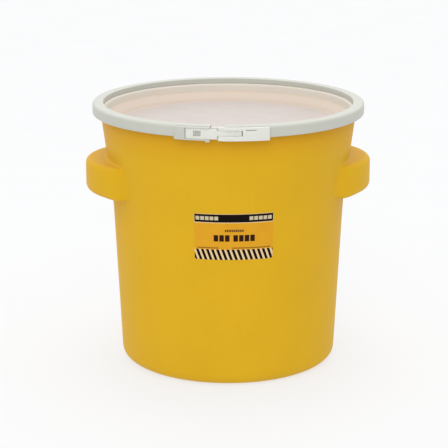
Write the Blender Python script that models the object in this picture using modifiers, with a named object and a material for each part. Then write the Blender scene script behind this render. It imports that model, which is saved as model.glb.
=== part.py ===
"""Open-head poly drum with a recessed lid and a lever-lock closing ring.

Metres, +Z up. The drum stands on z = 0 with its axis on Z, its grips on the X axis and its lever
at the front, -Y.
An angle round the drum is counted in degrees from the front, positive towards +X.
"""

import math

import bmesh
import bpy
from mathutils import Matrix, Vector

# Driving sizes
RING_R = 0.267  # outer radius of the closing ring
RING_TOP = 0.5192
RING_HEIGHT = 0.0218
BASE_R = 0.2138  # where the lower wall would meet the floor
BASE_CORNER = 0.0205
LOWER_TAPER = 0.0473  # radius gained per metre of height, below the knee
UPPER_TAPER = 0.128  # and above it
KNEE_Z = 0.3268
KNEE_BLEND = 0.03  # height over which the two tapers meet, below and above the knee
DRUM_WALL = 0.0035
GRIP_OUT = 0.2822  # outermost x of the grips
GRIP_ROUND = 0.1424  # radius of each grip's outline in plan
GRIP_LOW = 0.344
GRIP_HIGH = 0.409
GRIP_LOW_ROUND = 0.014
GRIP_TOP_ROUND = 0.0115
LID_FLOOR_Z = 0.4753
LID_FLOOR_R = 0.2243
LID_WALL = 0.0025
LABEL_WIDTH = 0.15
LABEL_AT = -0.9  # its middle, in degrees from the front
LABEL_LOW = 0.2562
LABEL_HIGH = 0.3468

GAP = 0.0003  # between pieces that touch
ROOM = 0.0005  # between pieces that slide past each other
STEPS = 72  # flats round a turned piece
ARC_STEP = math.radians(30)  # most that one edge of a rounded corner turns
FAR = 0.6  # beyond the object, for cutters

# The mouth of the drum, the seal, the lid's rim and the ring, from the inside out
SKIN = 0.003  # wall of the ring
RING_LOW = RING_TOP - RING_HEIGHT
LID_TOP = RING_TOP - SKIN - GAP
FLANGE_TOP = 0.5055
FLANGE_LOW = 0.501
FLANGE_R = 0.2558
RING_LIP_IN = 0.2456  # the ring's turned-down inner lip
RING_LIP_OUT = 0.2478
RING_LIP_LOW = 0.5089
SKIRT_IN = FLANGE_R + GAP
SKIRT_R = 0.2595
SKIRT_LOW = 0.502
LID_STEP_R = RING_LIP_OUT + GAP
LID_STEP_Z = RING_LIP_LOW - GAP
GROOVE_IN = LID_STEP_R + 0.0022
GROOVE_TOP = LID_TOP - SKIN
RING_LOWER_LIP = SKIRT_R + ROOM

# The closure at the front: angles in degrees from the front, heights and radii in metres
SPLIT = (-10.9, -5.0)  # where the ring is open
HOUSING = (-25.8, -10.9)
LEVER = (-6.9, 12.7)  # from its pivot to its tip
BAND_STEP = 12.95  # where the ring regains its full radius, past the lever's tip
FORK_END = 1.9
STRAP_PIN_AT = 1.0
STRAP_TIP = -20.5
STRAP_NECK = -8.0  # where the strap narrows to pass between the ring's lugs
EYE_HOLE = (-17.4, -14.4)  # the strap's square hole
TOOTH = (-17.25, -16.7)  # the ring's tooth, in that hole
TOOTH_R = 0.2686
SEAL_POCKET = (-16.58, -14.4)  # a shallow pocket in the ring, in the rest of that hole
SEAL_POCKET_DEPTH = 0.0008
STRAP_TIP_ROOM = 0.25  # degrees between the strap's tip and the end of its bed
FINGER_TAB = (-12.6, -11.0)
FINGER_TAB_DROP = 0.0026
LEVER_SLOT = (3.1, 7.2)
CLOSURE_LOW = 0.4932
CLOSURE_HIGH = 0.5177
CLOSURE_R = 0.272
HOUSING_R = 0.2707
SHELF_R = 0.264  # the ring's wall behind the lever
LEVER_IN = SHELF_R + 0.0004
PIVOT_R = 0.2646
STRAP_IN = 0.2668
STRAP_OUT = 0.2696
STRAP_LOW = 0.5025  # of its narrow end
STRAP_HIGH = 0.512
STRAP_WIDE_LOW = 0.4962
STRAP_WIDE_HIGH = 0.515
EYE_HOLE_LOW = 0.501
EYE_HOLE_HIGH = 0.5112
LEVER_SLOT_LOW = 0.5125
LEVER_SLOT_HIGH = 0.5136
LEVER_SKIN = 0.0026
STRAP_MID_R = (STRAP_IN + STRAP_OUT) / 2
PIN_R = 0.0016
PIN_ROOM = 0.0003
LUG_R = 0.0032  # round end of the ring's lugs
KNUCKLE_R = 0.0048  # round end of the lever, over the lugs
EYE_R = 0.0032
LUG_HEIGHT = 0.0022
LUG_ROOT = -6.0  # right of here the lugs have their full depth
LUG_NECK_R = PIVOT_R - 0.0022  # and left of it they start here, clear of the knuckle when it turns

YELLOW = (0.708, 0.413, 0.019)
RING_WHITE = (0.66, 0.66, 0.58)
LID_NATURAL = (0.73, 0.66, 0.62)
BLACK_RUBBER = (0.03, 0.03, 0.03)
STEEL = (0.62, 0.62, 0.60)
LABEL_ORANGE = (0.75, 0.39, 0.02)


def clear_scene():
    for obj in list(bpy.data.objects):
        bpy.data.objects.remove(obj, do_unlink=True)


def collection(name):
    made = bpy.data.collections.new(name)
    bpy.context.scene.collection.children.link(made)
    return made


def material(name, colour, roughness, metallic=0.0):
    made = bpy.data.materials.new(name)
    made.use_nodes = True
    shader = made.node_tree.nodes["Principled BSDF"]
    shader.inputs["Base Color"].default_value = (*colour, 1)
    shader.inputs["Roughness"].default_value = roughness
    shader.inputs["Metallic"].default_value = metallic
    return made


def rounded(corners, closed=True):
    """The points of an outline whose corners are (x, y, radius): each radius becomes an arc."""
    points = []
    for index, (x, y, radius) in enumerate(corners):
        corner = Vector((x, y))
        if not radius or (not closed and index in (0, len(corners) - 1)):
            points.append(corner)
            continue
        before = (Vector(corners[index - 1][:2]) - corner).normalized()
        after = (Vector(corners[(index + 1) % len(corners)][:2]) - corner).normalized()
        half = before.angle(after) / 2
        centre = corner + (before + after).normalized() * (radius / math.sin(half))
        start = corner + before * (radius / math.tan(half)) - centre
        end = corner + after * (radius / math.tan(half)) - centre
        turn = math.atan2(start.x * end.y - start.y * end.x, start.dot(end))
        pieces = max(1, math.ceil(abs(turn) / ARC_STEP))
        for piece in range(pieces + 1):
            points.append(centre + Matrix.Rotation(turn * piece / pieces, 2) @ start)
    return points


def turned(name, profile):
    """A solid turned from (radius, height) points that run down its outer side."""
    on_axis = profile[0].x == 0
    count = len(profile)
    edges = [(i, (i + 1) % count) for i in range(count - on_axis)]
    mesh = bpy.data.meshes.new(name)
    mesh.from_pydata([(point.x, 0, point.y) for point in profile], edges, [])
    obj = bpy.data.objects.new(name, mesh)
    bpy.context.scene.collection.objects.link(obj)
    screw = obj.modifiers.new("turn", "SCREW")
    screw.steps = screw.render_steps = STEPS
    screw.use_merge_vertices = True
    screw.merge_threshold = 0.00001
    screw.use_smooth_shade = False
    return applied(obj)


def applied(obj):
    """The object as a plain mesh, with its modifiers applied and a curve's caps welded."""
    graph = bpy.context.evaluated_depsgraph_get()
    mesh = bpy.data.meshes.new_from_object(obj.evaluated_get(graph))
    shape = bmesh.new()
    shape.from_mesh(mesh)
    bmesh.ops.remove_doubles(shape, verts=shape.verts, dist=0.000005)
    shape.to_mesh(mesh)
    shape.free()
    solid = bpy.data.objects.new(obj.name, mesh)
    solid.matrix_world = obj.matrix_world
    name = obj.name
    bpy.data.objects.remove(obj, do_unlink=True)
    solid.name = name
    bpy.context.scene.collection.objects.link(solid)
    bpy.context.view_layer.update()
    return solid


def slab(name, outline, low, high):
    """A flat outline in plan, extruded from one height to another."""
    curve = bpy.data.curves.new(name, "CURVE")
    curve.dimensions = "2D"
    curve.fill_mode = "BOTH"
    curve.extrude = (high - low) / 2
    spline = curve.splines.new("POLY")
    spline.points.add(len(outline) - 1)
    for point, place in zip(spline.points, outline):
        point.co = (place[0], place[1], 0, 1)
    spline.use_cyclic_u = True
    obj = bpy.data.objects.new(name, curve)
    bpy.context.scene.collection.objects.link(obj)
    obj.location.z = (low + high) / 2
    bpy.context.view_layer.update()
    return applied(obj)


def around(angle, radius):
    """The plan position at this angle from the front, in degrees."""
    turn = math.radians(angle)
    return Vector((radius * math.sin(turn), -radius * math.cos(turn)))


def arc(start, end, radius, step=2.5):
    pieces = max(1, math.ceil(abs(end - start) / step))
    return [around(start + (end - start) * i / pieces, radius) for i in range(pieces + 1)]


def arc_block(name, angles, radii, heights):
    """A block that follows the ring between two angles, two radii and two heights."""
    outline = arc(angles[0], angles[1], radii[1]) + arc(angles[1], angles[0], radii[0])
    return slab(name, outline, *heights)


def post(name, angle, radius, size, heights, sides=20):
    """An upright round post of this size, at this angle and radius."""
    centre = around(angle, radius)
    outline = [
        centre + Vector((math.cos(turn), math.sin(turn))) * size
        for turn in (math.tau * side / sides for side in range(sides))
    ]
    return slab(name, outline, *heights)


def combine(obj, tool, operation):
    modifier = obj.modifiers.new(tool.name, "BOOLEAN")
    modifier.operation = operation
    modifier.object = tool
    made = applied(obj)
    bpy.data.objects.remove(tool, do_unlink=True)
    return made


def join(obj, *tools):
    for tool in tools:
        obj = combine(obj, tool, "UNION")
    return obj


def cut(obj, *tools):
    for tool in tools:
        obj = combine(obj, tool, "DIFFERENCE")
    return obj


def wall_radius(height):
    """Outer radius of the drum's wall, with the two tapers blended at the knee."""
    past = max(0.0, min(height - KNEE_Z + KNEE_BLEND, 2 * KNEE_BLEND))
    gained = past * past / (4 * KNEE_BLEND) + max(0.0, height - KNEE_Z - KNEE_BLEND)
    return BASE_R + LOWER_TAPER * height + (UPPER_TAPER - LOWER_TAPER) * gained


def drum_outer(inset=0.0):
    """Corners of the drum's wall from the floor up, moved inwards by inset."""
    corners = [(wall_radius(inset) - inset, inset, BASE_CORNER - inset)]
    for height in (KNEE_Z - 0.034, KNEE_Z - 0.012, KNEE_Z + 0.012, KNEE_Z + 0.034):
        corners.append((wall_radius(height) - inset, height, 0))
    return corners


def grips(name, inset):
    """Both grips as one bar through the drum: each end is a half circle in plan, with rounded edges."""
    centre = GRIP_OUT - GRIP_ROUND
    right_end = [point + Vector((centre, 0)) for point in arc(0, 180, GRIP_ROUND - inset, 9)]
    low, high = GRIP_LOW + inset, GRIP_HIGH - inset
    bar = slab(name, right_end + [-point for point in right_end], low, high)
    shape = bmesh.new()
    shape.from_mesh(bar.data)
    bmesh.ops.dissolve_limit(shape, angle_limit=0.01, verts=shape.verts, edges=shape.edges)
    for level, size in ((low, GRIP_LOW_ROUND - inset), (high, GRIP_TOP_ROUND - inset)):
        local = level - bar.location.z
        rim = [edge for edge in shape.edges if all(abs(vert.co.z - local) < GAP for vert in edge.verts)]
        bmesh.ops.bevel(shape, geom=rim, offset=size, segments=3, profile=0.5, affect="EDGES")
    shape.to_mesh(bar.data)
    shape.free()
    return bar


def make_drum():
    top = [
        (wall_radius(FLANGE_LOW), FLANGE_LOW, 0.0015),
        (FLANGE_R, FLANGE_LOW, 0.0012),
        (FLANGE_R, FLANGE_TOP, 0.0012),
    ]
    outer = [(0, FLANGE_TOP, 0)] + top[::-1] + drum_outer()[::-1] + [(0, 0, 0)]
    body = turned("drum_body", rounded(outer, closed=False))
    body = join(body, grips("grips", 0))
    mouth = wall_radius(FLANGE_LOW) - DRUM_WALL
    inner = [(0, FAR, 0), (mouth, FAR, 0), (mouth, FLANGE_LOW, 0)]
    inner += drum_outer(DRUM_WALL)[::-1] + [(0, DRUM_WALL, 0)]
    hollow = turned("hollow", rounded(inner, closed=False))
    return cut(body, join(hollow, grips("grip_hollows", DRUM_WALL)))


def make_label():
    """A thin sheet that follows the front of the drum, proud of it by the gap."""
    rows = 6
    heights = [LABEL_HIGH - (LABEL_HIGH - LABEL_LOW) * row / rows for row in range(rows + 1)]
    skin = [Vector((wall_radius(z) + GAP + 0.0005, z)) for z in heights]
    skin += [Vector((wall_radius(z) + GAP, z)) for z in heights[::-1]]
    sheet = turned("label", skin)
    half = math.degrees(LABEL_WIDTH / 2 / wall_radius(LABEL_LOW))
    sides = (LABEL_AT - half, LABEL_AT + half)
    sector = arc_block("sector", sides, (0.1, FAR), (LABEL_LOW - 0.01, LABEL_HIGH + 0.01))
    return combine(sheet, sector, "INTERSECT")


def make_lid():
    ledge_z = 0.4934
    top = [
        (0, LID_FLOOR_Z, 0),
        (LID_FLOOR_R, LID_FLOOR_Z, 0.004),
        (0.2374, ledge_z, 0),
        (0.2390, ledge_z + 0.0006, 0),
        (0.2412, LID_STEP_Z, 0.005),
        (LID_STEP_R, LID_STEP_Z, 0),
        (LID_STEP_R, LID_TOP, 0.0012),
        (SKIRT_R, LID_TOP, 0.002),
        (SKIRT_R, SKIRT_LOW, 0),
    ]
    under = [
        (SKIRT_IN, SKIRT_LOW, 0),
        (SKIRT_IN, GROOVE_TOP, 0),
        (GROOVE_IN, GROOVE_TOP, 0),
        (GROOVE_IN, LID_STEP_Z - LID_WALL, 0),
        (0.2435, LID_STEP_Z - LID_WALL, 0.001),
        (0.2416, ledge_z, 0),
        (LID_FLOOR_R + 0.0013, LID_FLOOR_Z - LID_WALL, 0.004),
        (0, LID_FLOOR_Z - LID_WALL, 0),
    ]
    return turned("lid", rounded(top + under, closed=False))


def make_gasket():
    low, high = FLANGE_TOP + GAP, GROOVE_TOP - GAP
    inner, outer = GROOVE_IN + GAP, SKIRT_IN - GAP
    corners = [(inner, high, 0), (outer, high, 0), (outer, low, 0.0015), (inner, low, 0.0015)]
    return turned("lid_gasket", rounded(corners))


def make_ring():
    inside = RING_R - SKIN
    corners = [
        (RING_LIP_IN, RING_TOP, 0.0015),
        (RING_R, RING_TOP, 0.0032),
        (RING_R, RING_LOW, 0.0015),
        (RING_LOWER_LIP, RING_LOW, 0),
        (RING_LOWER_LIP, RING_LOW + SKIN, 0),
        (inside, RING_LOW + SKIN, 0),
        (inside, RING_TOP - SKIN, 0),
        (RING_LIP_OUT, RING_TOP - SKIN, 0),
        (RING_LIP_OUT, RING_LIP_LOW, 0),
        (RING_LIP_IN, RING_LIP_LOW, 0),
    ]
    ring = turned("ring_band", rounded(corners))
    beyond = (RING_LOW - 0.01, RING_TOP + 0.01)
    front = (HOUSING[0] + 0.5, BAND_STEP)
    ring = cut(ring, arc_block("front_skin", front, (SHELF_R - 0.0005, FAR), beyond))
    ring = cut(ring, arc_block("split", SPLIT, (0.2, FAR), beyond))
    inner = RING_LOWER_LIP + 0.0006
    wall_heights = (RING_LOW + 0.0004, RING_TOP - 0.0006)
    shelf = arc_block("shelf", (SPLIT[1] + 0.02, BAND_STEP + 1.2), (inner, SHELF_R), wall_heights)
    housing_angles = (HOUSING[0], HOUSING[1] - 0.02)
    housing = arc_block("housing", housing_angles, (inner, HOUSING_R), (CLOSURE_LOW, CLOSURE_HIGH))
    tab_heights = (CLOSURE_LOW - FINGER_TAB_DROP, CLOSURE_LOW + 0.001)
    finger_tab = arc_block("finger_tab", FINGER_TAB, (0.2655, HOUSING_R - 0.0006), tab_heights)
    ring = join(ring, shelf, housing, finger_tab)
    bed_heights = (STRAP_WIDE_LOW - GAP, STRAP_WIDE_HIGH + GAP)
    bed_r = STRAP_IN - GAP
    pocket_heights = (EYE_HOLE_LOW, EYE_HOLE_HIGH)
    ring = cut(
        ring,
        arc_block("strap_bed", (STRAP_TIP - STRAP_TIP_ROOM, 0), (bed_r, FAR), bed_heights),
        arc_block("seal_pocket", SEAL_POCKET, (bed_r - SEAL_POCKET_DEPTH, FAR), pocket_heights),
    )
    tooth_heights = (EYE_HOLE_LOW + 2 * GAP, EYE_HOLE_HIGH - 2 * GAP)
    ring = join(ring, arc_block("tooth", TOOTH, (STRAP_IN - 0.001, TOOTH_R), tooth_heights))
    for name, heights in (("lower_lug", lug_heights()[0]), ("upper_lug", lug_heights()[1])):
        arm = slab(name + "_arm", lug_outline(inner + 0.0004), *heights)
        round_end = post(name + "_end", LEVER[0], PIVOT_R, LUG_R, heights)
        ring = join(ring, join(arm, round_end))
    bore = post("pivot_bore", LEVER[0], PIVOT_R, PIN_R + PIN_ROOM, (CLOSURE_LOW, CLOSURE_HIGH))
    return cut(ring, bore)


def lug_outline(inner):
    """A lug's arm in plan, from the pivot to the ring's wall, thinner next to the pivot."""
    end = SPLIT[1] + 0.6
    outline = arc(LEVER[0], end, SHELF_R - 0.0004) + arc(end, LUG_ROOT, inner)
    return outline + [around(LUG_ROOT - 0.1, LUG_NECK_R), around(LEVER[0], LUG_NECK_R)]


def lug_heights():
    """Heights of the two lugs that hold the lever's pin, below and above the strap."""
    lower_top = STRAP_LOW - 2 * GAP
    upper_low = STRAP_HIGH + 2 * GAP
    return (lower_top - LUG_HEIGHT, lower_top), (upper_low, upper_low + LUG_HEIGHT)


def make_lever():
    """A curved channel with a forked left end, whose two arms carry the pivot pin and the strap's pin."""
    tip_round = 0.0025
    ramp_end = LEVER[0] + 3.2
    outline = arc(ramp_end, LEVER[1] - 0.5, CLOSURE_R)
    outline += [around(LEVER[1], CLOSURE_R - tip_round), around(LEVER[1], LEVER_IN)]
    outline += arc(LEVER[1] - 0.5, LEVER[0] + 1, LEVER_IN)
    outline += [around(LEVER[0], PIVOT_R), around(LEVER[0], PIVOT_R + KNUCKLE_R - 0.0003)]
    lever = slab("lever", outline, CLOSURE_LOW, CLOSURE_HIGH)
    lever = join(lever, post("knuckle", LEVER[0], PIVOT_R, KNUCKLE_R, (CLOSURE_LOW, CLOSURE_HIGH)))
    fork = arc_block("fork", (-10, FORK_END), (0.25, FAR), (STRAP_LOW - GAP, STRAP_HIGH + GAP))
    lower_lug, upper_lug = lug_heights()
    room_heights = (lower_lug[0] - GAP, upper_lug[1] + GAP)
    lug_room = arc_block("lug_room", (-10, SPLIT[1] + 1.3), (0.25, LEVER_IN), room_heights)
    lug_room = join(lug_room, post("round_room", LEVER[0], PIVOT_R, LUG_R + GAP, room_heights))
    pocket_radii = (0.25, CLOSURE_R - LEVER_SKIN)
    pocket_heights = (CLOSURE_LOW + LEVER_SKIN, CLOSURE_HIGH - LEVER_SKIN)
    pocket = arc_block("pocket", (FORK_END + 1.1, LEVER[1] - 0.7), pocket_radii, pocket_heights)
    slot = arc_block("slot", LEVER_SLOT, (0.25, FAR), (LEVER_SLOT_LOW, LEVER_SLOT_HIGH))
    pivot_bore = post("pivot_bore", LEVER[0], PIVOT_R, PIN_R + PIN_ROOM, (0.4, FAR))
    strap_bore = post("strap_bore", STRAP_PIN_AT, STRAP_MID_R, PIN_R + PIN_ROOM - 0.0002, (0.4, FAR))
    return cut(lever, fork, lug_room, pocket, slot, pivot_bore, strap_bore)


def make_strap():
    """A curved strap: wide where it hooks over the ring's tooth, narrow at its eye in the lever's fork."""
    radii = (STRAP_IN, STRAP_OUT)
    strap = arc_block("toggle_strap", (STRAP_TIP, STRAP_NECK), radii, (STRAP_WIDE_LOW, STRAP_WIDE_HIGH))
    neck = arc_block("neck", (STRAP_NECK - 1, STRAP_PIN_AT), radii, (STRAP_LOW, STRAP_HIGH))
    strap = join(strap, neck, post("eye", STRAP_PIN_AT, STRAP_MID_R, EYE_R, (STRAP_LOW, STRAP_HIGH)))
    hole = arc_block("square_hole", EYE_HOLE, (0.25, FAR), (EYE_HOLE_LOW, EYE_HOLE_HIGH))
    bore = post("bore", STRAP_PIN_AT, STRAP_MID_R, PIN_R + PIN_ROOM - 0.0002, (0.4, FAR))
    return cut(strap, hole, bore)


def make_pins():
    """The lever's pivot pin and the strap's pin, both upright and a little shorter than the lever is high."""
    ends = (CLOSURE_LOW + 0.0004, CLOSURE_HIGH - 0.0004)
    pivot = post("lever_pivot_pin", LEVER[0], PIVOT_R, PIN_R, ends)
    strap = post("strap_pin", STRAP_PIN_AT, STRAP_MID_R, PIN_R - 0.0002, ends)
    return pivot, strap


def finish(obj, parts, look):
    """Gives a finished piece its material, its shading and its collection."""
    obj.data.materials.clear()
    obj.data.materials.append(look)
    obj.data.shade_smooth()
    obj.data.set_sharp_from_angle(angle=math.radians(32))
    for owner in list(obj.users_collection):
        owner.objects.unlink(obj)
    parts.objects.link(obj)


def main():
    clear_scene()
    parts = collection("poly_drum")
    yellow = material("drum_yellow", YELLOW, 0.42)
    white = material("ring_white", RING_WHITE, 0.45)
    natural = material("lid_natural", LID_NATURAL, 0.4)
    rubber = material("seal_rubber", BLACK_RUBBER, 0.7)
    steel = material("pin_steel", STEEL, 0.3, 1.0)
    paper = material("label_print", LABEL_ORANGE, 0.35)
    pivot_pin, strap_pin = make_pins()
    made = (
        (make_drum(), yellow),
        (make_label(), paper),
        (make_lid(), natural),
        (make_gasket(), rubber),
        (make_ring(), white),
        (make_lever(), white),
        (make_strap(), white),
        (pivot_pin, steel),
        (strap_pin, steel),
    )
    for obj, look in made:
        finish(obj, parts, look)


main()
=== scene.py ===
import math

import bmesh
import bpy
import numpy as np
from mathutils import Matrix, Vector


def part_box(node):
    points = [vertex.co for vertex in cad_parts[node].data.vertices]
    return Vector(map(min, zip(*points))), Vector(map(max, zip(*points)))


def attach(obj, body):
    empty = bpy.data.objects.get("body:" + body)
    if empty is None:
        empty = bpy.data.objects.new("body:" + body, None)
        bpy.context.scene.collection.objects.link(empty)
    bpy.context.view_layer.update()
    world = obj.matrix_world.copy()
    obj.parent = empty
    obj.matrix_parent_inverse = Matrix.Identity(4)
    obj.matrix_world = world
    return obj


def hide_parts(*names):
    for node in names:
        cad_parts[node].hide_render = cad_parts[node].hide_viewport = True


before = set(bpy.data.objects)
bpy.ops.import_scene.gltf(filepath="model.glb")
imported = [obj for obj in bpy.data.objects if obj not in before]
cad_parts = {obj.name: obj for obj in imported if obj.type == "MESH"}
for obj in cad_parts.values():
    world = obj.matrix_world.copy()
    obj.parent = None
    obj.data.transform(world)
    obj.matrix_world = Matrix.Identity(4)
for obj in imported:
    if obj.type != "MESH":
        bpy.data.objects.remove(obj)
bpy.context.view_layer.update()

# Sizes of the design, in metres, measured from the frame where a node's box gives them
RING_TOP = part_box("ring_band")[1].z
RING_HEIGHT = 0.0218
RING_LOW = RING_TOP - RING_HEIGHT
BOX_ROOM = 0.00002  # keeps the turned pieces inside the CAD's box
RING_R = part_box("ring_band")[1].x - BOX_ROOM
DRUM_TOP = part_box("drum_body")[1].z
GRIP_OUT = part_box("drum_body")[1].x
LID_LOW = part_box("lid")[0].z
LID_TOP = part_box("lid")[1].z
LID_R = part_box("lid")[1].x
STRAP_WIDE_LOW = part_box("toggle_strap")[0].z
STRAP_WIDE_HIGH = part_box("toggle_strap")[1].z
CLOSURE_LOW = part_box("lever")[0].z
CLOSURE_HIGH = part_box("lever")[1].z
LABEL_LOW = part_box("label")[0].z
LABEL_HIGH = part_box("label")[1].z

# The drum's wall
BASE_R = 0.2138  # where the lower wall would meet the floor
BASE_CORNER = 0.0205
LOWER_TAPER = 0.0473  # radius gained per metre of height, below the knee
UPPER_TAPER = 0.128  # and above it
KNEE_Z = 0.3268
KNEE_BLEND = 0.03  # height over which the two tapers meet, below and above the knee
DRUM_WALL = 0.0035
FLANGE_LOW = 0.501
FLANGE_R = 0.2558
FLANGE_ROUND = 0.0012
CORNER_END = 0.05  # height where the base corner's section ends
PLAIN_WALL = (0.08, 0.328)  # heights of the plain wall under the grips
NECK = (0.424, 0.49)  # and over them
RIM_START = 0.495
GRIP_LOW = 0.344
GRIP_HIGH = 0.409
GRIP_ROUND = 0.1424
GRIP_LOW_ROUND = 0.014
GRIP_TOP_ROUND = 0.0115
GRIP_BLEND = 0.012  # a grip that stands out this far has its full section
GRIP_FILLET = 0.007  # where its underside and its top leave the wall
GRIP_MARGIN = 0.008  # height beyond the grip, above and below, that its column of points covers

# The lid, the seal and the ring
LID_WALL = 0.0025
LID_FLOOR_R = 0.2243
LEDGE_Z = 0.4934
LEDGE_RISE = 0.0006
LEDGE_IN = 0.2374
LEDGE_OUT = 0.2390
SHOULDER_R = 0.2412
SHOULDER_ROUND = 0.0052
UNDER_LEDGE_R = 0.2416
UNDER_SHOULDER_R = 0.2435
GAP = 0.0003  # between pieces that touch
ROOM = 0.0005  # between pieces that slide past each other
SKIN = 0.003  # wall of the ring
RING_TOP_ROUND = 0.0055
RING_LOW_ROUND = 0.0022
LIP_ROUND = 0.0006
RING_LIP_IN = 0.2456  # the ring's turned-down inner lip
RING_LIP_OUT = 0.2478
RING_LIP_LOW = 0.5089
SKIRT_IN = FLANGE_R + GAP
SKIRT_LOW = 0.502
LID_STEP_R = RING_LIP_OUT + GAP
LID_STEP_Z = RING_LIP_LOW - GAP
GROOVE_IN = LID_STEP_R + 0.0022
GROOVE_TOP = LID_TOP - SKIN

# The closure: angles in degrees from the front, positive towards +X
SPLIT = (-10.9, -5.0)
HOUSING = (-25.8, -10.9)
LEVER = (-6.9, 12.7)  # from its pivot to its tip
BAND_STEP = 12.95  # where the ring regains its full radius, past the lever's tip
FORK_END = 1.9
STRAP_PIN_AT = 1.0
STRAP_TIP = -20.5
STRAP_NECK = -8.0  # where the strap narrows to pass between the ring's lugs
EYE_HOLE = (-17.4, -14.4)  # the strap's square hole
TOOTH = (-17.25, -16.7)  # the ring's tooth, in that hole
TOOTH_R = 0.2686
SEAL_POCKET = (-16.58, -14.4)
SEAL_POCKET_DEPTH = 0.0008
STRAP_TIP_ROOM = 0.25  # degrees between the strap's tip and the end of its bed
FINGER_TAB = (-12.6, -11.0)
FINGER_TAB_DROP = 0.0026
LEVER_SLOT = (3.1, 7.2)
CLOSURE_R = 0.27195
HOUSING_R = 0.2707
SHELF_R = 0.264
LEVER_IN = SHELF_R + 0.0004  # leaves a little room over the ring's shelf
PIVOT_R = 0.2646
STRAP_IN = 0.2668
STRAP_OUT = 0.2696
STRAP_MID_R = (STRAP_IN + STRAP_OUT) / 2
STRAP_LOW = 0.5025
STRAP_HIGH = 0.512
EYE_HOLE_LOW = 0.501
EYE_HOLE_HIGH = 0.5112
LEVER_SLOT_LOW = 0.5125
LEVER_SLOT_HIGH = 0.5136
LEVER_SKIN = 0.0026
PIN_R = 0.0016
STRAP_PIN_LESS = 0.0002  # the strap's pin is thinner by this
PIN_ROOM = 0.0003
PIN_CHAMFER = 0.0004
LUG_R = 0.0032  # round end of the ring's lugs
KNUCKLE_R = 0.0048
EYE_R = 0.0032
LUG_HEIGHT = 0.0022
LUG_ROOT = -6.0  # right of here the lugs have their full depth
LUG_NECK_R = PIVOT_R - 0.0022  # and left of it they start here, clear of the knuckle when it turns
FORK_START = -10  # left of the lever, for the cutters of its forked end
NEAR = 0.25  # inside the closure, for cutters
FAR = 0.6  # beyond the object, for cutters
SMALLEST_ROUND = 0.00005  # a corner with less than this stays sharp
THROUGH = (0.4, FAR)  # heights of a cutter that goes right through the closure

# Radii of the softened edges
RING_EDGE = 0.0005
HOUSING_EDGE = 0.001
LEVER_EDGE = 0.0012
STRAP_EDGE = 0.0009
CUT_EDGE = 0.0003  # of what is cut into the lever and the strap

# The label
LABEL_WIDTH = 0.15
LABEL_AT = -0.9  # its middle, in degrees from the front
LABEL_CORNER = 0.003
LABEL_INSET = 0.0002  # inside the CAD's label, at the top and the bottom
LABEL_LIFTS = (0.00032, 0.00012)  # of its face and its back over the drum's wall
LABEL_ROWS = 40
LABEL_SIDES = 48

# Colours, as a light and a dark tone where there are two
YELLOW = ((0.715, 0.414, 0.0112), (0.685, 0.394, 0.0102))
# painted shade under the ring: a darker, more orange yellow towards the drum's mouth
YELLOW_UNDER_RING_SHADE = (0.70, 0.36, 0.0112)
UNDER_RING_SHADE_HEIGHTS = (0.44, 0.485)  # heights between which the yellow drifts to its painted shade under the ring, at the mouth
RING_WHITE = ((0.55, 0.56, 0.50), (0.525, 0.535, 0.475))
CLOSURE_WHITE = ((0.73, 0.74, 0.675), (0.70, 0.71, 0.645))
LID_PANEL = ((0.52, 0.465, 0.44), (0.54, 0.485, 0.46))
LID_SIDE_DRUM_LIGHT = ((0.66, 0.56, 0.48), (0.68, 0.575, 0.48))  # painted yellow light of the drum showing through, at its foot and at the ledge
LID_SHOULDER = (0.70, 0.645, 0.56)
LID_CROWN = (0.60, 0.59, 0.545)
# painted shade in the lid's creases
LID_CREASE_SHADE = (0.42, 0.30, 0.20)
FLOOR_TONES = ((0.215, 0.219, 0.226), (0.225, 0.229, 0.236))
FLOOR_GLOW = 0.675
LABEL_INK = (0.006, 0.003, 0.002)
LABEL_CREAM = (0.80, 0.58, 0.31)
LABEL_ORANGE = ((0.70, 0.335, 0.017), (0.73, 0.355, 0.02))

# The camera, fitted to the photo's outline: lengths in ring radii
CAMERA_AZIMUTH = math.radians(-3.5)
CAMERA_PITCH = 0.2608
CAMERA_DISTANCE = 11.9078
CAMERA_HEIGHT = 4.1738
CAMERA_ASIDE = -0.0317
SENSOR_WIDTH = 36
LENS = 131.6

# The studio
FLOOR_HALF = 12
FLOOR_DROP = 0.0005  # under the drum's base
SKY_HORIZON = 0.35
SKY_ZENITH = 1.4
SKY_BACKDROP = 0.5  # added behind the drum


# ---------------------------------------------------------------- outlines and meshes


def corner_circle(before, corner, after, radius):
    """The circle that rounds a corner: its centre, the vector from there to its start, and its turn."""
    half = before.angle(after, math.pi) / 2
    centre = corner + (before + after).normalized() * (radius / math.sin(half))
    start = corner + before * (radius / math.tan(half)) - centre
    end = corner + after * (radius / math.tan(half)) - centre
    return centre, start, math.atan2(start.x * end.y - start.y * end.x, start.dot(end))


def swept(centre, start, turn, steps):
    return [centre + Matrix.Rotation(turn * step / steps, 2) @ start for step in range(steps + 1)]


def rounded(corners, closed=True, arc_step=15):
    """The points of an outline whose corners are (x, y, radius): each radius becomes an arc."""
    points = []
    for index, (x, y, radius) in enumerate(corners):
        corner = Vector((x, y))
        if not radius or (not closed and index in (0, len(corners) - 1)):
            points.append(corner)
            continue
        before = (Vector(corners[index - 1][:2]) - corner).normalized()
        after = (Vector(corners[(index + 1) % len(corners)][:2]) - corner).normalized()
        centre, start, turn = corner_circle(before, corner, after, radius)
        points += swept(centre, start, turn, max(1, math.ceil(abs(turn) / math.radians(arc_step))))
    return points


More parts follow.
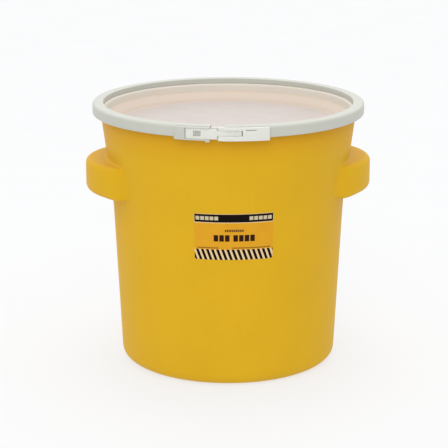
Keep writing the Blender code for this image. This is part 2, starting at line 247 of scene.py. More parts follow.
def new_object(name, vertices, faces):
    mesh = bpy.data.meshes.new(name)
    mesh.from_pydata(vertices, [], faces)
    shape = bmesh.new()
    shape.from_mesh(mesh)
    bmesh.ops.remove_doubles(shape, verts=shape.verts, dist=0.000002)
    bmesh.ops.dissolve_degenerate(shape, edges=shape.edges, dist=0.000001)
    bmesh.ops.recalc_face_normals(shape, faces=shape.faces)
    shape.to_mesh(mesh)
    shape.free()
    obj = bpy.data.objects.new(name, mesh)
    bpy.context.scene.collection.objects.link(obj)
    return obj


def loft(name, angles, columns, closed):
    """A skin through columns of (radius, height) points, one column at each angle right round the axis.

    A closed column is a loop; an open one starts and ends on the axis."""
    count = len(columns[0])
    vertices = [
        (point[0] * math.cos(angle), point[0] * math.sin(angle), point[1])
        for angle, column in zip(angles, columns)
        for point in column
    ]
    faces = []
    for side in range(len(columns)):
        here, there = side * count, (side + 1) % len(columns) * count
        for row in range(count if closed else count - 1):
            above = (row + 1) % count
            faces.append((here + row, there + row, there + above, here + above))
    return new_object(name, vertices, faces)


def lathe(name, profile, steps=240):
    """A turned piece: its profile is a loop, or starts and ends on the axis."""
    angles = [math.tau * step / steps for step in range(steps)]
    return loft(name, angles, [profile] * steps, closed=profile[0][0] > 0)


def split_long(profile, longest):
    """The profile with points added so that no stretch is longer than this."""
    points = [profile[0]]
    for start, end in zip(profile, profile[1:]):
        pieces = max(1, math.ceil((Vector(end) - Vector(start)).length / longest))
        points += [Vector(start).lerp(Vector(end), piece / pieces) for piece in range(1, pieces + 1)]
    return points


def around(angle, radius):
    turn = math.radians(angle)
    return Vector((radius * math.sin(turn), -radius * math.cos(turn)))


def arc(start, end, radius, step=1.5):
    pieces = max(1, math.ceil(abs(end - start) / step))
    return [around(start + (end - start) * i / pieces, radius) for i in range(pieces + 1)]


def slab(name, outline, heights):
    """A flat outline in plan between two heights."""
    count = len(outline)
    vertices = [(point.x, point.y, height) for height in heights for point in outline]
    faces = [(i, (i + 1) % count, (i + 1) % count + count, i + count) for i in range(count)]
    faces += [tuple(range(count))[::-1], tuple(range(count, 2 * count))]
    return new_object(name, vertices, faces)


def arc_block(name, angles, radii, heights):
    return slab(name, arc(angles[0], angles[1], radii[1]) + arc(angles[1], angles[0], radii[0]), heights)


def post(name, angle, radius, size, heights, sides=40):
    centre = around(angle, radius)
    turns = (math.tau * side / sides for side in range(sides))
    return slab(name, [centre + Vector((math.cos(turn), math.sin(turn))) * size for turn in turns], heights)


def bake_modifiers(obj):
    graph = bpy.context.evaluated_depsgraph_get()
    mesh = bpy.data.meshes.new_from_object(obj.evaluated_get(graph))
    obj.modifiers.clear()
    obj.data = mesh


def combine(obj, tools, operation):
    for tool in tools:
        modifier = obj.modifiers.new("boolean", "BOOLEAN")
        modifier.operation = operation
        modifier.object = tool
        bake_modifiers(obj)
        bpy.data.objects.remove(tool, do_unlink=True)
    return obj


def join(obj, *tools):
    return combine(obj, tools, "UNION")


def cut(obj, *tools):
    return combine(obj, tools, "DIFFERENCE")


def soften(obj, width, segments=2, angle=38):
    """Rounds every sharp edge, as a mould does, and shades the piece smooth."""
    bevel = obj.modifiers.new("soften", "BEVEL")
    bevel.width = width
    bevel.segments = segments
    bevel.limit_method = "ANGLE"
    bevel.angle_limit = math.radians(angle)
    bevel.miter_outer = "MITER_ARC"
    bake_modifiers(obj)
    shade(obj)
    return obj


def shade(obj, angle=40):
    obj.data.shade_smooth()
    obj.data.set_sharp_from_angle(angle=math.radians(angle))


# ---------------------------------------------------------------- materials


class Nodes:
    """Short calls for a material's node tree."""

    def __init__(self, name):
        self.material = bpy.data.materials.new(name)
        self.material.use_nodes = True
        self.tree = self.material.node_tree
        self.shader = self.tree.nodes["Principled BSDF"]
        self.place = self.tree.nodes.new("ShaderNodeTexCoord").outputs["Object"]

    def add(self, kind, **settings):
        node = self.tree.nodes.new(kind)
        for key, value in settings.items():
            setattr(node, key, value)
        return node

    def link(self, source, target):
        self.tree.links.new(source, target)

    def noise(self, scale, detail):
        node = self.add("ShaderNodeTexNoise")
        node.inputs["Scale"].default_value = scale
        node.inputs["Detail"].default_value = detail
        node.inputs["Roughness"].default_value = 0.6
        self.link(self.place, node.inputs["Vector"])
        return node.outputs["Fac"]

    def math(self, operation, first, second=0.0, third=0.0):
        node = self.add("ShaderNodeMath", operation=operation)
        for socket, value in zip(node.inputs, (first, second, third)):
            if isinstance(value, (int, float)):
                socket.default_value = value
            else:
                self.link(value, socket)
        return node.outputs[0]

    def spread(self, value, low, high, to_low, to_high):
        node = self.add("ShaderNodeMapRange")
        for name, number in zip(("From Min", "From Max", "To Min", "To Max"), (low, high, to_low, to_high)):
            node.inputs[name].default_value = number
        self.link(value, node.inputs["Value"])
        return node.outputs["Result"]

    def mix(self, factor, first, second):
        node = self.add("ShaderNodeMix", data_type="RGBA")
        self.link(factor, node.inputs["Factor"])
        for socket, value in ((node.inputs[6], first), (node.inputs[7], second)):
            if isinstance(value, tuple):
                socket.default_value = (*value, 1)
            else:
                self.link(value, socket)
        return node.outputs[2]

    def axes(self):
        node = self.add("ShaderNodeSeparateXYZ")
        self.link(self.place, node.inputs[0])
        return node.outputs

    def bump(self, height, strength, distance=0.001, under=None):
        node = self.add("ShaderNodeBump")
        node.inputs["Strength"].default_value = strength
        node.inputs["Distance"].default_value = distance
        self.link(height, node.inputs["Height"])
        if under is not None:
            self.link(under, node.inputs["Normal"])
        return node.outputs["Normal"]

    def finish(self, colour, roughness, normal=None, **constants):
        self.link(colour, self.shader.inputs["Base Color"])
        self.link(roughness, self.shader.inputs["Roughness"])
        if normal is not None:
            self.link(normal, self.shader.inputs["Normal"])
        for name, value in constants.items():
            self.shader.inputs[name.replace("_", " ")].default_value = value
        return self.material


def moulded(name, light, dark, roughness, specular, upper=None):
    """Moulded polyethylene: a fine matt grain, faint flow marks and a slightly uneven colour and gloss.

    With an upper colour, it drifts to that colour towards the drum's mouth, as painted shade under the ring."""
    nodes = Nodes(name)
    cloud = nodes.noise(9.0, 3.0)
    speck = nodes.noise(160.0, 2.0)
    tone = nodes.math("ADD", nodes.math("MULTIPLY", cloud, 0.7), nodes.math("MULTIPLY", speck, 0.3))
    colour = nodes.mix(nodes.spread(tone, 0.35, 0.65, 0.0, 1.0), dark, light)
    if upper:
        # painted shade under the ring, towards the mouth
        colour = nodes.mix(nodes.spread(nodes.axes()[2], *UNDER_RING_SHADE_HEIGHTS, 0.0, 1.0), colour, upper)
    gloss = nodes.spread(cloud, 0.3, 0.7, roughness - 0.05, roughness + 0.06)
    wave = nodes.bump(nodes.noise(26.0, 2.0), 0.18, 0.0012)
    normal = nodes.bump(nodes.noise(700.0, 3.0), 0.12, 0.0003, under=wave)
    return nodes.finish(colour, gloss, normal, Specular_IOR_Level=specular)


def lid_material():
    """Natural polyethylene: whiter on the flat panel and warmer up the wall, where the drum's yellow light
    showing through is painted in; its creases get painted shade.
    """
    nodes = Nodes("natural_polyethylene")
    x, y, z = nodes.axes()
    radius = nodes.math("SQRT", nodes.math("ADD", nodes.math("MULTIPLY", x, x), nodes.math("MULTIPLY", y, y)))
    cloud = nodes.noise(7.0, 3.0)
    panel = nodes.mix(nodes.spread(cloud, 0.35, 0.65, 0.0, 1.0), *LID_PANEL)
    # painted light: the drum's yellow showing through the lid's wall
    wall = nodes.mix(nodes.spread(z, LID_LOW + 0.004, LEDGE_Z, 0.0, 1.0), *LID_SIDE_DRUM_LIGHT)
    drum_light_mask = nodes.spread(radius, LID_FLOOR_R - 0.012, LID_FLOOR_R + 0.001, 0.0, 1.0)
    dish = nodes.mix(drum_light_mask, panel, wall)
    rim = nodes.spread(z, LEDGE_Z + 0.0005, LEDGE_Z + 0.002, 0.0, 1.0)
    shoulder = nodes.mix(rim, dish, LID_SHOULDER)
    crown = nodes.spread(z, LID_STEP_Z + 0.0005, LID_STEP_Z + 0.002, 0.0, 1.0)
    plain = nodes.mix(crown, shoulder, LID_CROWN)
    # painted shade at the foot of the wall and along the ledge
    off_floor = nodes.math("ABSOLUTE", nodes.math("SUBTRACT", radius, LID_FLOOR_R))
    off_ledge = nodes.math("ABSOLUTE", nodes.math("SUBTRACT", z, LEDGE_Z - 0.0005))
    floor_crease_shade = nodes.spread(off_floor, 0.0, 0.005, 0.24, 0.0)
    crease_shade = nodes.math("MAXIMUM", floor_crease_shade, nodes.spread(off_ledge, 0.0, 0.0022, 0.2, 0.0))
    colour = nodes.mix(crease_shade, plain, LID_CREASE_SHADE)
    gloss = nodes.spread(nodes.noise(30.0, 3.0), 0.3, 0.7, 0.33, 0.46)
    wave = nodes.bump(nodes.noise(16.0, 2.0), 0.2, 0.0012)
    normal = nodes.bump(nodes.noise(650.0, 3.0), 0.1, 0.0003, under=wave)
    translucent = {"Subsurface_Weight": 0.12, "Subsurface_Scale": 0.004}
    return nodes.finish(colour, gloss, normal, Specular_IOR_Level=0.35, **translucent)


def sponge_material():
    nodes = Nodes("seal_sponge")
    cells = nodes.noise(1400.0, 2.0)
    colour = nodes.mix(cells, (0.012, 0.012, 0.012), (0.045, 0.044, 0.042))
    gloss = nodes.spread(cells, 0.3, 0.7, 0.7, 0.9)
    return nodes.finish(colour, gloss, nodes.bump(cells, 0.6, 0.0005), Specular_IOR_Level=0.3)


def steel_material():
    nodes = Nodes("plated_steel")
    scratches = nodes.noise(900.0, 3.0)
    colour = nodes.mix(scratches, (0.50, 0.50, 0.48), (0.68, 0.67, 0.64))
    gloss = nodes.spread(scratches, 0.3, 0.7, 0.25, 0.42)
    return nodes.finish(colour, gloss, nodes.bump(scratches, 0.15, 0.0002), Metallic=1.0)


def label_material():
    """A printed film: a dark band and an orange field, each with plain blocks, and slanted stripes below.

    Places on it are shares of its width and its height."""
    nodes = Nodes("label_film")
    across = nodes.add("ShaderNodeSeparateXYZ")
    nodes.link(nodes.add("ShaderNodeUVMap", uv_map="sheet").outputs[0], across.inputs[0])
    u, v = across.outputs[0], across.outputs[1]

    def within(value, low, high):
        above = nodes.math("GREATER_THAN", value, low)
        return nodes.math("MULTIPLY", above, nodes.math("LESS_THAN", value, high))

    def block(left, right, low, high):
        return nodes.math("MULTIPLY", within(u, left, right), within(v, low, high))

    def blocks(left, right, low, high, count, share):
        """A row of plain blocks where a line of print stands."""
        along = nodes.math("MULTIPLY", nodes.math("SUBTRACT", u, left), count / (right - left))
        solid = nodes.math("LESS_THAN", nodes.math("FRACT", along), share)
        return nodes.math("MULTIPLY", block(left, right, low, high), solid)

    grain = nodes.noise(60.0, 3.0)
    colour = nodes.mix(nodes.spread(grain, 0.35, 0.65, 0.0, 1.0), *LABEL_ORANGE)
    colour = nodes.mix(block(0.0, 1.0, 0.80, 1.0), colour, LABEL_CREAM)
    colour = nodes.mix(block(0.006, 0.994, 0.815, 0.99), colour, LABEL_INK)
    for left, right in ((0.022, 0.315), (0.69, 0.985)):
        colour = nodes.mix(blocks(left, right, 0.862, 0.943, 5, 0.8), colour, (0.58, 0.50, 0.33))
    colour = nodes.mix(blocks(0.386, 0.626, 0.608, 0.66, 9, 0.75), colour, (0.12, 0.045, 0.01))
    for left, right, count in ((0.245, 0.458, 3), (0.492, 0.775, 4)):
        colour = nodes.mix(blocks(left, right, 0.40, 0.54, count, 0.8), colour, (0.03, 0.01, 0.005))
    for left, right, count in ((0.04, 0.31, 13), (0.475, 0.975, 27)):
        colour = nodes.mix(blocks(left, right, 0.245, 0.272, count, 0.7), colour, (0.15, 0.055, 0.01))
    slant = nodes.math("ADD", u, nodes.math("MULTIPLY", v, 0.22))
    stripe = nodes.math("LESS_THAN", nodes.math("FRACT", nodes.math("DIVIDE", slant, 0.0645)), 0.56)
    band = block(0.0, 1.0, 0.0, 0.225)
    striped = nodes.math("MULTIPLY", band, stripe)
    colour = nodes.mix(striped, nodes.mix(band, colour, LABEL_CREAM), LABEL_INK)
    gloss = nodes.spread(grain, 0.3, 0.7, 0.42, 0.5)
    normal = nodes.bump(nodes.noise(400.0, 2.0), 0.05, 0.0002)
    return nodes.finish(colour, gloss, normal, Specular_IOR_Level=0.06)


def floor_material():
    nodes = Nodes("studio_floor")
    colour = nodes.mix(nodes.noise(3.0, 2.0), *FLOOR_TONES)
    gloss = nodes.spread(nodes.noise(5.0, 2.0), 0.3, 0.7, 0.7, 0.8)
    nodes.shader.inputs["Emission Color"].default_value = (1, 1, 1, 1)
    return nodes.finish(colour, gloss, Specular_IOR_Level=0.1, Emission_Strength=FLOOR_GLOW)


# ---------------------------------------------------------------- pieces


def wall_radius(height):
    """Outer radius of the drum's wall, with its two tapers blended at the knee."""
    past = max(0.0, min(height - KNEE_Z + KNEE_BLEND, 2 * KNEE_BLEND))
    gained = past * past / (4 * KNEE_BLEND) + max(0.0, height - KNEE_Z - KNEE_BLEND)
    return BASE_R + LOWER_TAPER * height + (UPPER_TAPER - LOWER_TAPER) * gained


def grip_reach(turn, inset):
    """Radius of a grip's round outline in plan, along a ray at this angle from the X axis."""
    centre = GRIP_OUT - GRIP_ROUND
    across = centre * math.sin(turn)
    reach = GRIP_ROUND - inset
    return centre * math.cos(turn) + math.sqrt(max(0.0, reach * reach - across * across))


def smooth_max(first, second, width):
    overlap = max(width - abs(first - second), 0.0)
    return max(first, second) + overlap * overlap / (4 * width)


def corner_arc(before, corner, after, radius, steps):
    """Points round a corner between two directions; the number of points never changes."""
    if radius < SMALLEST_ROUND:
        return [corner] * (steps + 1)
    return swept(*corner_circle(before, corner, after, radius), steps)


def grip_column(turn, inset, fine):
    """The wall's points over the height of the grips, from the bottom up, at this angle from the X axis.

    Where the grip stands out, the wall turns out under it, up its face and back in over it."""
    low, high = GRIP_LOW + inset, GRIP_HIGH - inset
    under, over = wall_radius(low) - inset, wall_radius(high) - inset
    reach = grip_reach(turn, inset)
    stands_out = smooth_max(reach - over, 0.0, GRIP_BLEND)
    face = over + stands_out
    down, up, out, back = Vector((0, -1)), Vector((0, 1)), Vector((1, 0)), Vector((-1, 0))
    steps = (5, 8, 8, 5) if fine else (2, 4, 4, 2)
    path = corner_arc(down, Vector((under, low)), out, min(GRIP_FILLET, 0.45 * stands_out), steps[0])
    low_round = min(GRIP_LOW_ROUND - inset, 0.5 * stands_out)
    top_round = min(GRIP_TOP_ROUND - inset, 0.5 * stands_out)
    path += corner_arc(back, Vector((face, low)), up, low_round, steps[1])
    path += corner_arc(down, Vector((face, high)), back, top_round, steps[2])
    path += corner_arc(out, Vector((over, high)), up, min(GRIP_FILLET, 0.45 * stands_out), steps[3])
    count = len(path)
    covered = high - low + 2 * GRIP_MARGIN
    heights = [low - GRIP_MARGIN + covered * row / (count - 1) for row in range(count)]
    plain = [Vector((wall_radius(height) - inset, height)) for height in heights]
    weight = min(1.0, stands_out / GRIP_BLEND)
    weight = weight * weight * (3 - 2 * weight)
    return [first.lerp(second, weight) for first, second in zip(plain, path)]


def drum_column(turn):
    """The drum's section at this angle from the X axis: up the outside, over the mouth, down the inside."""
    fold = abs((turn + math.pi / 2) % math.pi - math.pi / 2)
    mouth = wall_radius(FLANGE_LOW)
    corner = [(0, 0, 0), (wall_radius(0), 0, BASE_CORNER), (wall_radius(CORNER_END), CORNER_END, 0)]
    outside = split_long(rounded(corner, closed=False, arc_step=11), 0.03)
    outside += [Vector((wall_radius(z), z)) for z in np.linspace(*PLAIN_WALL, 11)]
    outside += grip_column(fold, 0.0, True)
    outside += [Vector((wall_radius(z), z)) for z in np.linspace(*NECK, 4)]
    rim = [
        (wall_radius(RIM_START), RIM_START, 0),
        (mouth, FLANGE_LOW, 0.003),
        (FLANGE_R, FLANGE_LOW, FLANGE_ROUND),
        (FLANGE_R, DRUM_TOP, FLANGE_ROUND),
        (mouth - DRUM_WALL, DRUM_TOP, 0.0015),
        (mouth - DRUM_WALL, FLANGE_LOW, 0),
    ]
    outside += rounded(rim, closed=False, arc_step=20)
    inside = [Vector((wall_radius(z) - DRUM_WALL, z)) for z in np.linspace(NECK[1], NECK[0], 4)]
    inside += grip_column(fold, DRUM_WALL, False)[::-1]
    inside += [Vector((wall_radius(z) - DRUM_WALL, z)) for z in np.linspace(PLAIN_WALL[1], PLAIN_WALL[0], 7)]
    corner = [
        (wall_radius(CORNER_END) - DRUM_WALL, CORNER_END, 0),
        (wall_radius(0) - DRUM_WALL, DRUM_WALL, BASE_CORNER - DRUM_WALL),
        (0, DRUM_WALL, 0),
    ]
    return outside + inside + split_long(rounded(corner, closed=False, arc_step=20), 0.06)


def make_drum(look):
    """The moulded shell, with its two hollow grips, closer columns where the grips leave the wall."""
    quarter = list(np.arange(0, 24, 1.5)) + list(np.arange(24, 46, 0.7)) + list(np.arange(46, 90, 2))
    turns = [math.radians(a) for a in quarter]
    turns += [math.pi - turn for turn in reversed(turns) if turn > 0]
    turns += [turn + math.pi for turn in turns if turn < math.pi - 1e-9]
    turns = sorted({round(turn % math.tau, 9) for turn in turns})
    drum = loft("drum_shell", turns, [drum_column(turn) for turn in turns], closed=False)
    shade(drum, 50)
    return piece(drum, look, "drum", "drum_yellow", "drum_body")


def label_half_width(height, low, high):
    """Half the label's width at this height, less where its corners are round."""
    pull = max(0.0, LABEL_CORNER - min(height - low, high - height))
    if not pull:
        return LABEL_WIDTH / 2
    cut_off = LABEL_CORNER - math.sqrt(max(0.0, LABEL_CORNER * LABEL_CORNER - pull * pull))
    return LABEL_WIDTH / 2 - cut_off


def label_grid(film, low, high, lift):
    """Rows of points at this lift over the drum's wall, each a vertex and its place on the printed sheet."""
    middle_r = wall_radius((low + high) / 2)
    grid = []
    for row in range(LABEL_ROWS + 1):
        v = row / LABEL_ROWS
        height = low + (high - low) * v
        width = label_half_width(height, low, high)
        radius = wall_radius(height) + lift
        line = []
        for side in range(LABEL_SIDES + 1):
            u = side / LABEL_SIDES
            turn = math.radians(LABEL_AT) + (2 * u - 1) * width / middle_r
            place = Vector((radius * math.sin(turn), -radius * math.cos(turn), height))
            line.append((film.verts.new(place), (0.5 + (u - 0.5) * width / (LABEL_WIDTH / 2), v)))
        grid.append(line)
    return grid


def label_face(film, sheet, *corners):
    made = film.faces.new([vertex for vertex, _ in corners])
    for loop, (_, place) in zip(made.loops, corners):
        loop[sheet].uv = place


def make_label(look):
    """A thin film on the front of the drum, with rounded corners."""
    film = bmesh.new()
    sheet = film.loops.layers.uv.new("sheet")
    low, high = LABEL_LOW + LABEL_INSET, LABEL_HIGH - LABEL_INSET
    layers = [label_grid(film, low, high, lift) for lift in LABEL_LIFTS]
    for grid in layers:
        for lower, upper in zip(grid, grid[1:]):
            for side in range(LABEL_SIDES):
                label_face(film, sheet, lower[side], lower[side + 1], upper[side + 1], upper[side])
    front, back = layers
    rim = [(0, side) for side in range(LABEL_SIDES)] + [(row, LABEL_SIDES) for row in range(LABEL_ROWS)]
    rim += [(LABEL_ROWS, side) for side in range(LABEL_SIDES, 0, -1)]
    rim += [(row, 0) for row in range(LABEL_ROWS, 0, -1)]
    for (row, side), (next_row, next_side) in zip(rim, rim[1:] + rim[:1]):
        outer = front[row][side], front[next_row][next_side]
        label_face(film, sheet, *outer, back[next_row][next_side], back[row][side])
    bmesh.ops.recalc_face_normals(film, faces=film.faces)
    mesh = bpy.data.meshes.new("front_label")
    film.to_mesh(mesh)
    film.free()
    obj = bpy.data.objects.new("front_label", mesh)
    bpy.context.scene.collection.objects.link(obj)
    shade(obj)
    return piece(obj, look, "drum", "label_print", "label")


def make_lid(look):
    """The recessed lid: a flat panel, a sloped wall with a ledge, a rounded shoulder and a hollow rim."""
    top = [
        (0, LID_LOW + LID_WALL, 0),
        (LID_FLOOR_R, LID_LOW + LID_WALL, 0.0055),
        (LEDGE_IN, LEDGE_Z, 0.0005),
        (LEDGE_OUT, LEDGE_Z + LEDGE_RISE, 0.0006),
        (SHOULDER_R, LID_STEP_Z, SHOULDER_ROUND),
        (LID_STEP_R, LID_STEP_Z, 0.0004),
        (LID_STEP_R, LID_TOP, 0.0012),
        (LID_R, LID_TOP, 0.0022),
        (LID_R, SKIRT_LOW, 0.0006),
    ]
    under = [
        (SKIRT_IN, SKIRT_LOW, 0.0006),
        (SKIRT_IN, GROOVE_TOP, 0.0008),
        (GROOVE_IN, GROOVE_TOP, 0.0008),
        (GROOVE_IN, LID_STEP_Z - LID_WALL, 0.0004),
        (UNDER_SHOULDER_R, LID_STEP_Z - LID_WALL, 0.001),
        (UNDER_LEDGE_R, LEDGE_Z, 0.0005),
        (LID_FLOOR_R + 0.0013, LID_LOW, 0.004),
        (0, LID_LOW, 0),
    ]
    profile = split_long(rounded(top + under, closed=False, arc_step=18), 0.02)
    lid = lathe("recessed_lid", profile)
    shade(lid, 50)
    return piece(lid, look, "lid", "lid_natural", "lid")


def make_gasket(look):
    low, high = DRUM_TOP + GAP, GROOVE_TOP - GAP
    inner, outer = GROOVE_IN + GAP, SKIRT_IN - GAP
    corners = [(inner, high, 0.0006), (outer, high, 0.0006), (outer, low, 0.0018), (inner, low, 0.0018)]
    seal = lathe("rim_seal", rounded(corners, arc_step=22))
    shade(seal, 50)
    return piece(seal, look, "lid", "seal_rubber", "lid_gasket")


def lug_outline(inner):
    """A lug's arm in plan, from the pivot to the ring's wall, thinner next to the pivot."""
    end = SPLIT[1] + 0.6
    outline = arc(LEVER[0], end, SHELF_R - 0.0004) + arc(end, LUG_ROOT, inner)
    return outline + [around(LUG_ROOT - 0.1, LUG_NECK_R), around(LEVER[0], LUG_NECK_R)]


def lug_heights():
    lower_top, upper_low = STRAP_LOW - 2 * GAP, STRAP_HIGH + 2 * GAP
    return (lower_top - LUG_HEIGHT, lower_top), (upper_low, upper_low + LUG_HEIGHT)


def make_ring(look):
    """The split closing ring: a C-section band with the strap's housing on one end, the lugs on the other."""
    inside = RING_R - SKIN
    lower_lip = LID_R + ROOM
    corners = [
        (RING_LIP_IN, RING_TOP, 0.0014),
        (RING_R, RING_TOP, RING_TOP_ROUND),
        (RING_R, RING_LOW, RING_LOW_ROUND),
        (lower_lip, RING_LOW, LIP_ROUND),
        (lower_lip, RING_LOW + SKIN, LIP_ROUND),
        (inside, RING_LOW + SKIN, 0),
        (inside, RING_TOP - SKIN, 0),
        (RING_LIP_OUT, RING_TOP - SKIN, 0),
        (RING_LIP_OUT, RING_LIP_LOW, LIP_ROUND),
        (RING_LIP_IN, RING_LIP_LOW, LIP_ROUND),
    ]
    ring = lathe("closing_ring", rounded(corners, arc_step=18))
    beyond = (RING_LOW - 0.01, RING_TOP + 0.01)
    ring = cut(
        ring,
        arc_block("front_skin", (HOUSING[0] + 0.5, BAND_STEP), (SHELF_R - 0.0005, FAR), beyond),
        arc_block("split", SPLIT, (0.2, FAR), beyond),
    )
    inner = lower_lip + 0.0006
    shelf_heights = (RING_LOW + 0.0004, RING_TOP - 0.0006)
    tab_heights = (CLOSURE_LOW - FINGER_TAB_DROP, CLOSURE_LOW + 0.001)
    ring = join(
        ring,
        arc_block("shelf", (SPLIT[1] + 0.02, BAND_STEP + 1.2), (inner, SHELF_R), shelf_heights),
        make_housing(inner),
        arc_block("finger_tab", FINGER_TAB, (0.2655, HOUSING_R - 0.0006), tab_heights),
    )
    bed_heights = (STRAP_WIDE_LOW - GAP, STRAP_WIDE_HIGH + GAP)
    bed_r = STRAP_IN - GAP
    pocket_heights = (EYE_HOLE_LOW, EYE_HOLE_HIGH)
    ring = cut(
        ring,
        arc_block("strap_bed", (STRAP_TIP - STRAP_TIP_ROOM, 0), (bed_r, FAR), bed_heights),
        arc_block("seal_pocket", SEAL_POCKET, (bed_r - SEAL_POCKET_DEPTH, FAR), pocket_heights),
    )
    tooth_heights = (EYE_HOLE_LOW + 2 * GAP, EYE_HOLE_HIGH - 2 * GAP)
    ring = join(ring, arc_block("tooth", TOOTH, (STRAP_IN - 0.001, TOOTH_R), tooth_heights))
    for heights in lug_heights():
        arm = slab("lug_arm", lug_outline(inner + 0.0004), heights)
        ring = join(ring, join(arm, post("lug_end", LEVER[0], PIVOT_R, LUG_R, heights)))
    ring = cut(ring, post("pivot_bore", LEVER[0], PIVOT_R, PIN_R + PIN_ROOM, (CLOSURE_LOW, CLOSURE_HIGH)))
    soften(ring, RING_EDGE)
    return piece(ring, look, "ring", "ring_white", "ring_band")


def make_housing(inner):
    """The thick end of the ring, with its left end run out into the band."""
    start, end = HOUSING[0], HOUSING[1] - 0.02
    outline = arc(start + 1.0, end, HOUSING_R) + arc(end, start, inner)
    outline.append(around(start, RING_R - 0.0006))
    return soften(slab("housing", outline, (CLOSURE_LOW, CLOSURE_HIGH)), HOUSING_EDGE, segments=3)


def make_lever(look):
    """The lever: a curved channel with a forked end, a rounded tip and a slot in its face."""
    ramp_end = LEVER[0] + 3.2
    tip_start = LEVER[1] - 0.4
    outline = arc(ramp_end, tip_start, CLOSURE_R)
    outline += [around(LEVER[1], CLOSURE_R - 0.0018), around(LEVER[1], LEVER_IN)]
    outline += arc(tip_start, LEVER[0] + 1, LEVER_IN)
    outline += [around(LEVER[0], PIVOT_R), around(LEVER[0], PIVOT_R + KNUCKLE_R - 0.0003)]
    lever = slab("closing_lever", outline, (CLOSURE_LOW, CLOSURE_HIGH))
    lever = join(lever, post("knuckle", LEVER[0], PIVOT_R, KNUCKLE_R, (CLOSURE_LOW, CLOSURE_HIGH)))
    soften(lever, LEVER_EDGE, segments=3)
    lower_lug, upper_lug = lug_heights()
    channel = (CLOSURE_LOW + LEVER_SKIN, CLOSURE_HIGH - LEVER_SKIN)
    room_heights = (lower_lug[0] - GAP, upper_lug[1] + GAP)
    lug_room = arc_block("lug_room", (FORK_START, SPLIT[1] + 1.3), (NEAR, LEVER_IN), room_heights)
    pocket_radii = (NEAR, CLOSURE_R - LEVER_SKIN - 0.0001)
    lever = cut(
        lever,
        arc_block("fork", (FORK_START, FORK_END), (NEAR, FAR), (STRAP_LOW - GAP, STRAP_HIGH + GAP)),
        join(lug_room, post("round_room", LEVER[0], PIVOT_R, LUG_R + GAP, room_heights)),
        arc_block("pocket", (FORK_END + 1.1, LEVER[1] - 0.7), pocket_radii, channel),
        arc_block("slot", LEVER_SLOT, (NEAR, FAR), (LEVER_SLOT_LOW, LEVER_SLOT_HIGH)),
        post("pivot_bore", LEVER[0], PIVOT_R, PIN_R + PIN_ROOM, THROUGH),
        post("strap_bore", STRAP_PIN_AT, STRAP_MID_R, PIN_R + PIN_ROOM - STRAP_PIN_LESS, THROUGH),
    )
    soften(lever, CUT_EDGE)
    return piece(lever, look, "lever", "ring_white", "lever")


def make_strap(look):
    radii = (STRAP_IN, STRAP_OUT)
    strap = arc_block("toggle_link", (STRAP_TIP, STRAP_NECK), radii, (STRAP_WIDE_LOW, STRAP_WIDE_HIGH))
    strap = join(
        strap,
        arc_block("neck", (STRAP_NECK - 1, STRAP_PIN_AT), radii, (STRAP_LOW, STRAP_HIGH)),
        post("eye", STRAP_PIN_AT, STRAP_MID_R, EYE_R, (STRAP_LOW, STRAP_HIGH)),
    )
    soften(strap, STRAP_EDGE, segments=3)
    strap = cut(
        strap,
        arc_block("square_hole", EYE_HOLE, (NEAR, FAR), (EYE_HOLE_LOW, EYE_HOLE_HIGH)),
        post("bore", STRAP_PIN_AT, STRAP_MID_R, PIN_R + PIN_ROOM - STRAP_PIN_LESS, THROUGH),
    )
    soften(strap, CUT_EDGE)
    return piece(strap, look, "strap", "ring_white", "toggle_strap")


def make_pin(name, node, body, angle, radius, size, look):
    """An upright pin with eased ends."""
    low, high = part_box(node)[0].z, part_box(node)[1].z
    profile = [(0, high, 0), (size, high, PIN_CHAMFER), (size, low, PIN_CHAMFER), (0, low, 0)]
    pin = lathe(name, rounded(profile, closed=False, arc_step=30), steps=40)
    centre = around(angle, radius)
    pin.data.transform(Matrix.Translation((centre.x, centre.y, 0)))
    shade(pin, 35)
    return piece(pin, look, body, "pin_steel", node)


def piece(obj, look, body, slot, *nodes):
    """Gives a piece its material and its body, and hides the nodes that it stands for. Its slot is not used.
    """
    obj.data.materials.clear()
    obj.data.materials.append(look)
    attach(obj, body)
    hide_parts(*nodes)
    return obj


# ---------------------------------------------------------------- studio


def make_camera():
    """The camera stands a little left of the front and above the drum, and looks slightly down."""
    camera = bpy.data.objects.new("camera", bpy.data.cameras.new("camera"))
    bpy.context.scene.collection.objects.link(camera)
    right = Vector((math.cos(CAMERA_AZIMUTH), math.sin(CAMERA_AZIMUTH), 0))
    back = Vector((math.sin(CAMERA_AZIMUTH), -math.cos(CAMERA_AZIMUTH), 0))
    across = back * (CAMERA_DISTANCE * RING_R) + right * (CAMERA_ASIDE * RING_R)
    camera.location = across + Vector((0, 0, CAMERA_HEIGHT * RING_R))
    camera.rotation_euler = (math.pi / 2 - CAMERA_PITCH, 0, CAMERA_AZIMUTH)
    camera.data.sensor_width = SENSOR_WIDTH
    camera.data.lens = LENS
    bpy.context.scene.camera = camera


def area_light(name, place, target, size, power):
    light = bpy.data.objects.new(name, bpy.data.lights.new(name, "AREA"))
    light.data.shape = "SQUARE"
    light.data.size = size
    light.data.energy = power
    light.location = place
    light.rotation_euler = (Vector(target) - Vector(place)).to_track_quat("-Z", "Y").to_euler()
    bpy.context.scene.collection.objects.link(light)


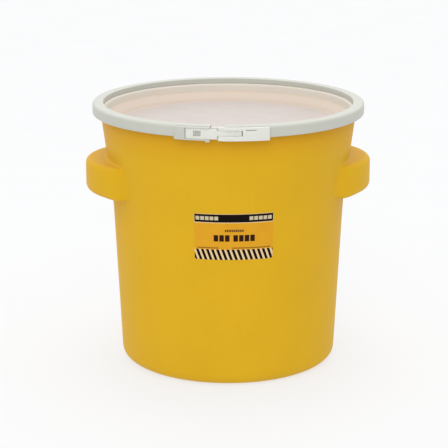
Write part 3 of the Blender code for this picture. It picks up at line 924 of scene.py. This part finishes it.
def make_sky():
    """A white dome that grows brighter from the horizon to the zenith, and brighter behind the drum."""
    world = bpy.data.worlds.new("studio")
    bpy.context.scene.world = world
    world.use_nodes = True
    tree = world.node_tree
    axes = tree.nodes.new("ShaderNodeSeparateXYZ")
    behind = tree.nodes.new("ShaderNodeMath")
    behind.operation = "MAXIMUM"
    behind.inputs[1].default_value = 0
    total = tree.nodes.new("ShaderNodeMath")
    total.operation = "MULTIPLY_ADD"
    total.inputs[1].default_value = SKY_BACKDROP
    strength = tree.nodes.new("ShaderNodeMapRange")
    strength.inputs["To Min"].default_value = SKY_HORIZON
    strength.inputs["To Max"].default_value = SKY_ZENITH
    background = tree.nodes["Background"]
    background.inputs["Color"].default_value = (1, 1, 1, 1)
    tree.links.new(tree.nodes.new("ShaderNodeTexCoord").outputs["Generated"], axes.inputs[0])
    tree.links.new(axes.outputs["Z"], strength.inputs["Value"])
    tree.links.new(axes.outputs["Y"], behind.inputs[0])
    tree.links.new(behind.outputs[0], total.inputs[0])
    tree.links.new(strength.outputs["Result"], total.inputs[2])
    tree.links.new(total.outputs[0], background.inputs["Strength"])


def make_studio():
    """A pale floor that fills the photo's view, a soft sky and two large soft lights."""
    signs = ((-1, -1), (1, -1), (1, 1), (-1, 1))
    floor = new_object("floor", [(x * FLOOR_HALF, y * FLOOR_HALF, 0) for x, y in signs], [(0, 1, 2, 3)])
    floor.location.z = -FLOOR_DROP
    floor.data.materials.append(floor_material())
    make_sky()
    area_light("front_light", (-0.8, -3.4, 2.6), (0, 0, 0.25), 2.2, 36)
    area_light("top_light", (0.4, 0.3, 3.4), (0, 0, 0.3), 2.4, 8)
    bpy.context.scene.view_settings.view_transform = "Standard"


def main():
    make_camera()
    yellow = moulded("drum_polyethylene", *YELLOW, roughness=0.5, specular=0.12, upper=YELLOW_UNDER_RING_SHADE)
    white = moulded("ring_polyethylene", *RING_WHITE, roughness=0.42, specular=0.35)
    make_drum(yellow)
    make_label(label_material())
    make_lid(lid_material())
    make_gasket(sponge_material())
    make_ring(white)
    whiter = moulded("closure_polyethylene", *CLOSURE_WHITE, roughness=0.4, specular=0.35)
    make_lever(whiter)
    make_strap(whiter)
    steel = steel_material()
    make_pin("pivot_pin", "lever_pivot_pin", "ring", LEVER[0], PIVOT_R, PIN_R, steel)
    make_pin("link_pin", "strap_pin", "lever", STRAP_PIN_AT, STRAP_MID_R, PIN_R - STRAP_PIN_LESS, steel)
    make_studio()


main()
